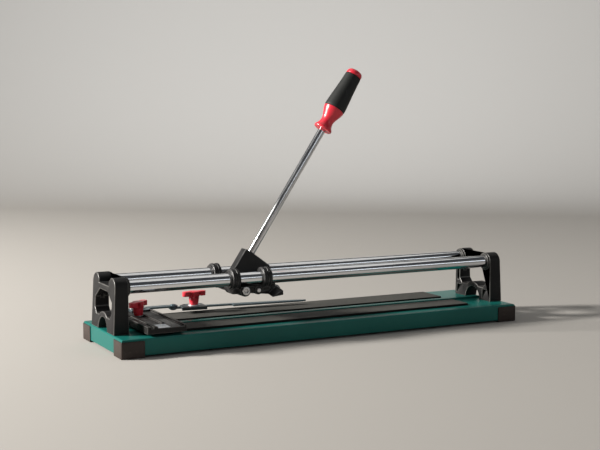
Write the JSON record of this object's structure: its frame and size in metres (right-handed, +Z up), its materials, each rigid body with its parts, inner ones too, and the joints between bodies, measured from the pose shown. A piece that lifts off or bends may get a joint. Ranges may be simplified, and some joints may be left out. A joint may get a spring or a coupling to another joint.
{
  "type": "manual tile cutter",
  "caption": "Manual tile cutter: a long tray with rubber pads, chromed rails, and a sliding carriage with handle, scoring wheel and breaker foot; a turning fence and guide arm at one end.",
  "frame": {"origin": "on the table under the middle of the base", "axes": "+X along the rails away from the fence, +Y from the near side to the guide arm, +Z up"},
  "size_m": [0.62, 0.16, 0.3745],
  "materials": {
    "tray_paint": "satin green stove enamel",
    "pad_rubber": "matt ribbed rubber",
    "foot_plastic": "fine grained",
    "bracket_plastic": "fine grained, moulded",
    "zinc_steel": "bright zinc",
    "dark_steel": "black oxide",
    "rail_chrome": "polished chrome",
    "carriage_paint": "black powder coat",
    "bush_plastic": "smooth bearing plastic",
    "red_plastic": "semi-gloss",
    "sleeve_rubber": "soft touch",
    "wheel_metal": "ground hard metal",
    "fence_plastic": "moulded, ribbed",
    "scale_print": "printed ruler strip",
    "plate_steel": "bright",
    "arm_steel": "blued",
    "slider_steel": "dark coat"
  },
  "bodies": {
    "base": {"base_tray": "tray_paint", "breaking_rib": "tray_paint", "near_pad": "pad_rubber", "far_pad": "pad_rubber", "corner_foot_near_left": "foot_plastic", "corner_foot_near_right": "foot_plastic", "corner_foot_far_left": "foot_plastic", "corner_foot_far_right": "foot_plastic", "left_bracket": "bracket_plastic", "right_bracket": "bracket_plastic", "bracket_screws": "zinc_steel", "rail_lock_screws": "dark_steel", "near_rail": "rail_chrome", "far_rail": "rail_chrome", "fence_bolt": "zinc_steel"},
    "carriage": {"carriage_body": "carriage_paint", "rail_bushes": "bush_plastic", "play_screws": "zinc_steel", "lever_bolt": "zinc_steel", "lever_nut": "zinc_steel", "lever_washers": "zinc_steel"},
    "lever": {"lever_block": "carriage_paint", "lever_rod": "rail_chrome", "rod_set_screw": "dark_steel", "grip_core": "red_plastic", "grip_sleeve": "sleeve_rubber", "grip_cap": "red_plastic", "breaker_foot": "carriage_paint", "foot_screw": "zinc_steel", "wheel_axle": "zinc_steel"},
    "wheel": {"scoring_wheel": "wheel_metal"},
    "fence": {"fence_body": "fence_plastic", "fence_scale": "scale_print", "fence_plate": "plate_steel", "arm_link": "arm_steel", "link_screws": "zinc_steel", "arm_rivet": "arm_steel"},
    "fence_knob": {"fence_knob": "red_plastic", "fence_washer": "zinc_steel"},
    "arm": {"guide_arm": "arm_steel"},
    "slider": {"arm_slider": "slider_steel", "slider_stud": "zinc_steel", "slider_washer": "zinc_steel"},
    "slider_knob": {"slider_knob": "red_plastic"}
  },
  "joints": [
    {"name": "carriage_slide", "type": "slide", "parent": "base", "child": "carriage", "axis": [1, 0, 0], "range_m": [-0.14, 0.33]},
    {"name": "lever_swing", "type": "hinge", "parent": "carriage", "child": "lever", "pos_m": [-0.1193, 0, 0.0703], "axis": [0, 1, 0], "range_deg": [-4, 20]},
    {"name": "wheel_spin", "type": "hinge", "parent": "lever", "child": "wheel", "pos_m": [-0.053, 0, 0.0605], "axis": [0, 1, 0], "continuous": true},
    {"name": "fence_turn", "type": "hinge", "parent": "base", "child": "fence", "pos_m": [-0.25, 0.022, 0.03], "axis": [0, 0, 1], "range_deg": [0, 25]},
    {"name": "fence_knob_turn", "type": "hinge", "parent": "base", "child": "fence_knob", "pos_m": [-0.25, 0.022, 0.045], "axis": [0, 0, 1], "range_deg": [0, 180]},
    {"name": "arm_turn", "type": "hinge", "parent": "fence", "child": "arm", "pos_m": [-0.179, 0.073, 0.034], "axis": [0, 0, 1], "range_deg": [-2, 60]},
    {"name": "slider_slide", "type": "slide", "parent": "arm", "child": "slider", "axis": [0.9947, -0.1028, 0], "range_m": [0, 0.04]},
    {"name": "slider_knob_turn", "type": "hinge", "parent": "slider", "child": "slider_knob", "pos_m": [-0.15218, 0.06017, 0.045], "axis": [0, 0, 1], "range_deg": [0, 180]}
  ]
}
